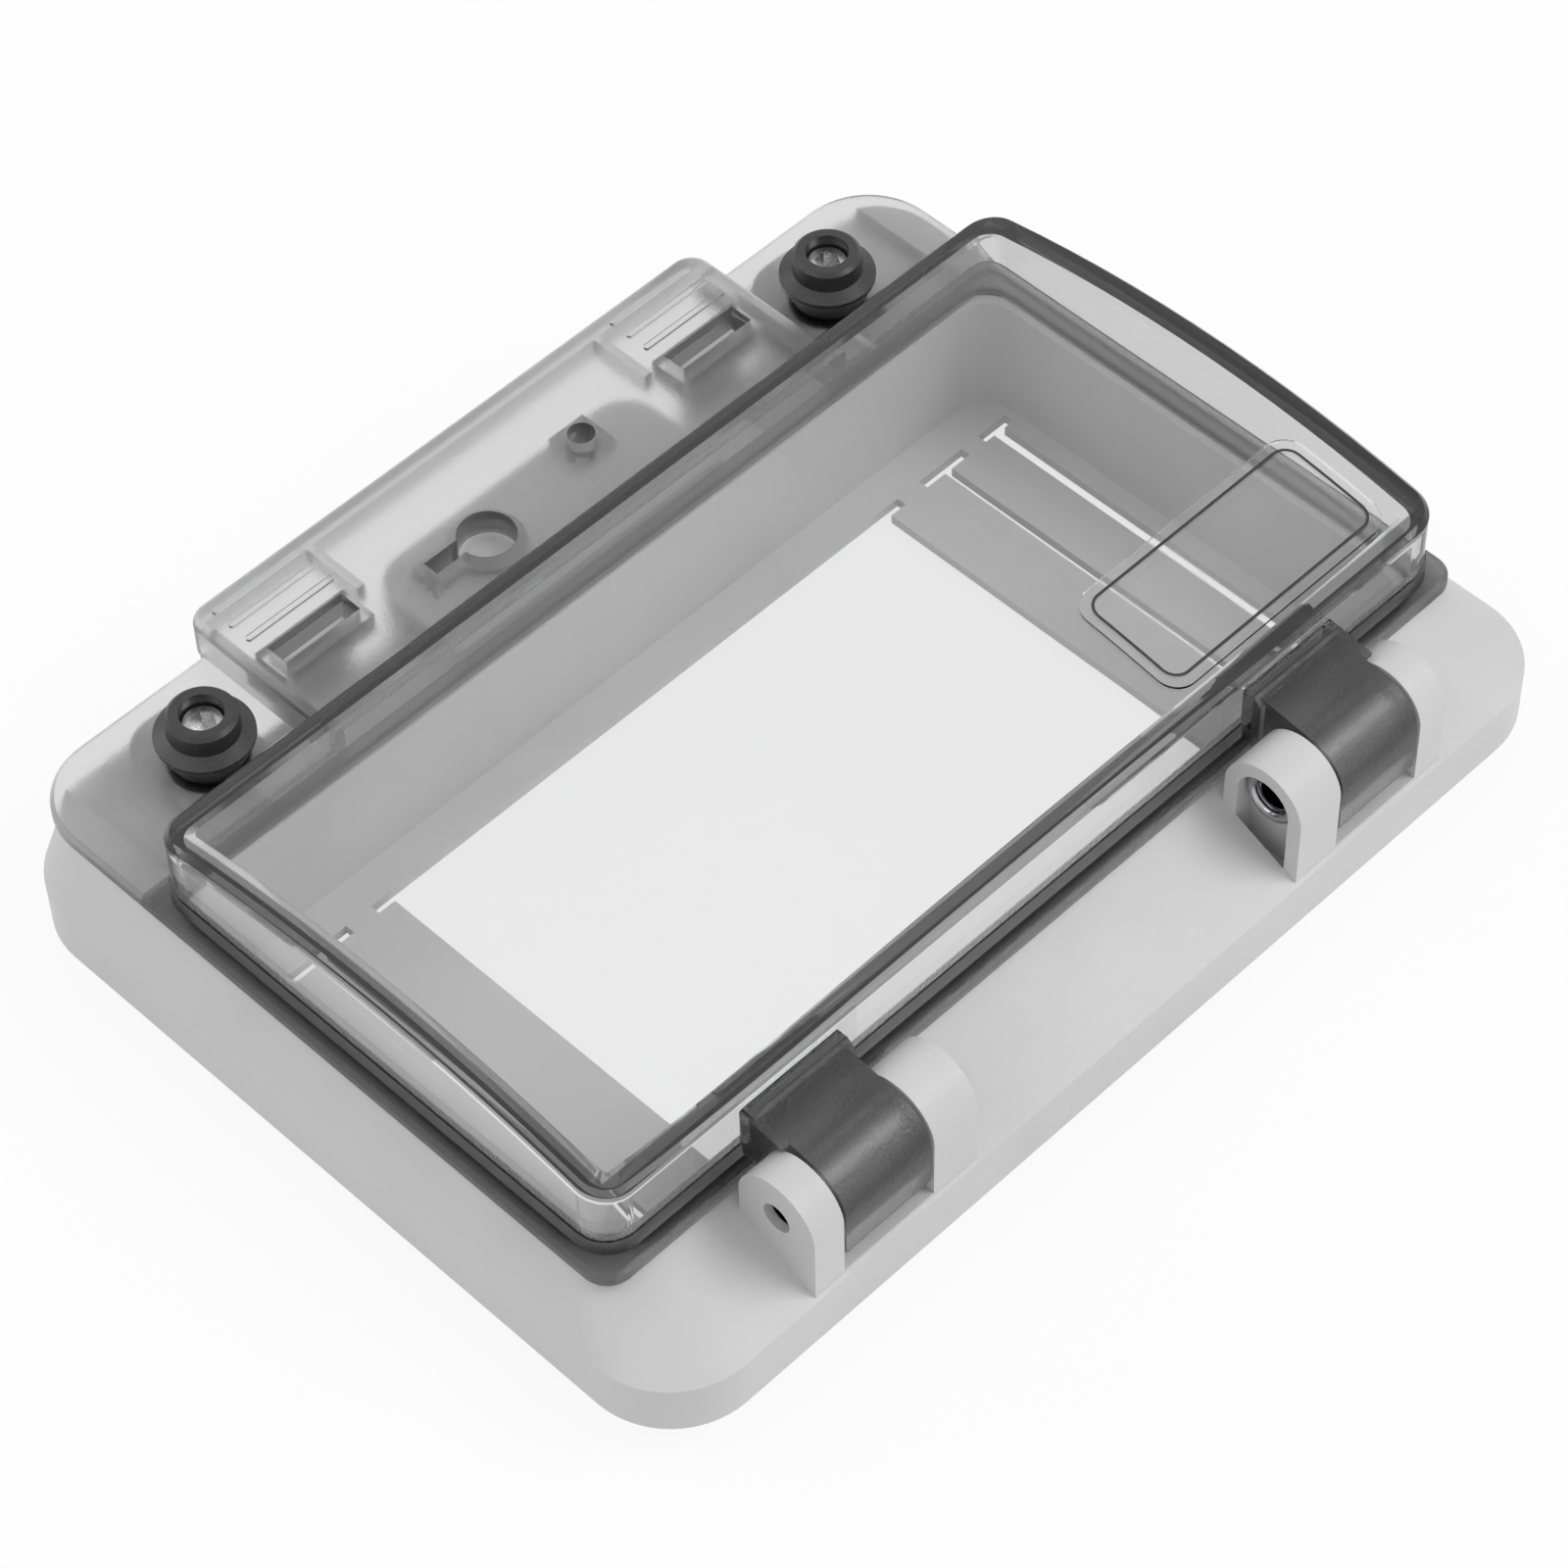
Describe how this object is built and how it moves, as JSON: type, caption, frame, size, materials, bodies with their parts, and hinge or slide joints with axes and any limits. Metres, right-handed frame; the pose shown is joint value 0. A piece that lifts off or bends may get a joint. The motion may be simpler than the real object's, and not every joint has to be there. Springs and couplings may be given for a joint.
{
  "type": "circuit breaker enclosure window",
  "caption": "Panel-mounted breaker window frame with a hinged domed smoke cover, seals, captive screws, spring catches and break-out strips.",
  "frame": {"origin": "centre of the frame's outline on its rear mounting face, the plane that lies on the panel", "axes": "+Z out of the panel towards the person who opens the cover, +X along the hinge axis and the long side, -Y towards the hinges, +Y towards the handle"},
  "size_m": [0.13, 0.0992, 0.0308],
  "materials": {
    "grey_plastic": "fine matte grain",
    "smoke_clear": "polished smoke-tinted polycarbonate",
    "dark_plastic": "satin black nylon",
    "seal_rubber": "matte",
    "pin_steel": "bright plated steel tube",
    "screw_steel": "dull plated steel",
    "insert_brass": "plain turned brass",
    "clear_film": "clear gloss film with a thin dark border"
  },
  "bodies": {
    "frame": {"base_frame": "grey_plastic", "hinge_pin_left": "pin_steel", "hinge_pin_right": "pin_steel", "cover_gasket": "seal_rubber", "rear_gasket": "seal_rubber", "screw_insert_left": "insert_brass", "screw_insert_right": "insert_brass", "fixing_inserts": "insert_brass"},
    "cover": {"window_cover": "smoke_clear", "bush_left": "dark_plastic", "bush_right": "dark_plastic", "bush_ring_left": "dark_plastic", "bush_ring_right": "dark_plastic", "label_film": "clear_film"},
    "left_screw": {"screw_left": "screw_steel", "screw_seal_left": "seal_rubber"},
    "right_screw": {"screw_right": "screw_steel", "screw_seal_right": "seal_rubber"},
    "left_catch": {"latch_hook_left": "grey_plastic"},
    "right_catch": {"latch_hook_right": "grey_plastic"}
  },
  "joints": [
    {"name": "cover_hinge", "type": "hinge", "parent": "frame", "child": "cover", "pos_m": [0, -0.0425, 0.0148], "axis": [1, 0, 0], "range_deg": [0, 110]},
    {"name": "left_screw_turn", "type": "hinge", "parent": "cover", "child": "left_screw", "pos_m": [-0.0446, 0.03865, 0.0146], "axis": [0, 0, 1], "continuous": true},
    {"name": "right_screw_turn", "type": "hinge", "parent": "cover", "child": "right_screw", "pos_m": [0.0446, 0.03865, 0.0146], "axis": [0, 0, 1], "continuous": true},
    {"name": "left_catch_flex", "type": "hinge", "parent": "frame", "child": "left_catch", "pos_m": [-0.0282, 0.0399, 0.004], "axis": [1, 0, 0], "range_deg": [0, 3.5], "stiffness_Nm_per_rad": 0.4},
    {"name": "right_catch_flex", "type": "hinge", "parent": "frame", "child": "right_catch", "pos_m": [0.0282, 0.0399, 0.004], "axis": [1, 0, 0], "range_deg": [0, 3.5], "stiffness_Nm_per_rad": 0.4}
  ]
}
